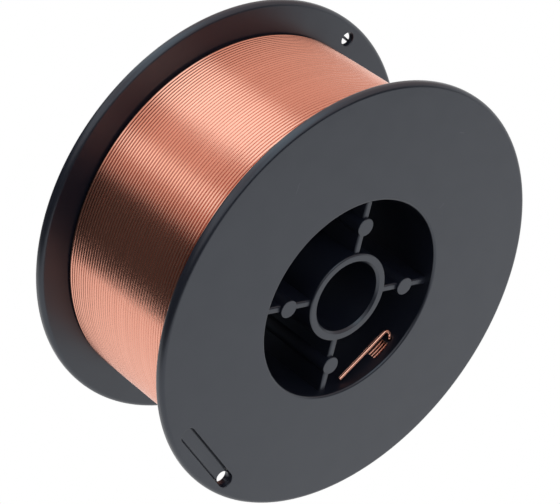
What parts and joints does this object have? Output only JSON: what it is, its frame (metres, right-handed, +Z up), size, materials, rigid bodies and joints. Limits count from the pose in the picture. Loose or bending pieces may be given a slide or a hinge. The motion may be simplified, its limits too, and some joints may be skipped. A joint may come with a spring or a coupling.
{
  "type": "spool of welding wire",
  "caption": "Small moulded spool with a ribbed hub and a plain bore, wound level to near its rims with copper-coated welding wire.",
  "frame": {"origin": "on the spool's axis, half-way between the two flange faces", "axes": "+Y along the bore from the front flange to the back one, +Z up, the spool resting on its rims"},
  "size_m": [0.1, 0.045, 0.1],
  "materials": {
    "spool_plastic": "black polystyrene, satin, moulded",
    "coppered_wire": "drawn mild steel wire with a bright copper coat"
  },
  "bodies": {
    "root": {"spool_body": "spool_plastic", "welding_wire": "coppered_wire"}
  },
  "joints": []
}
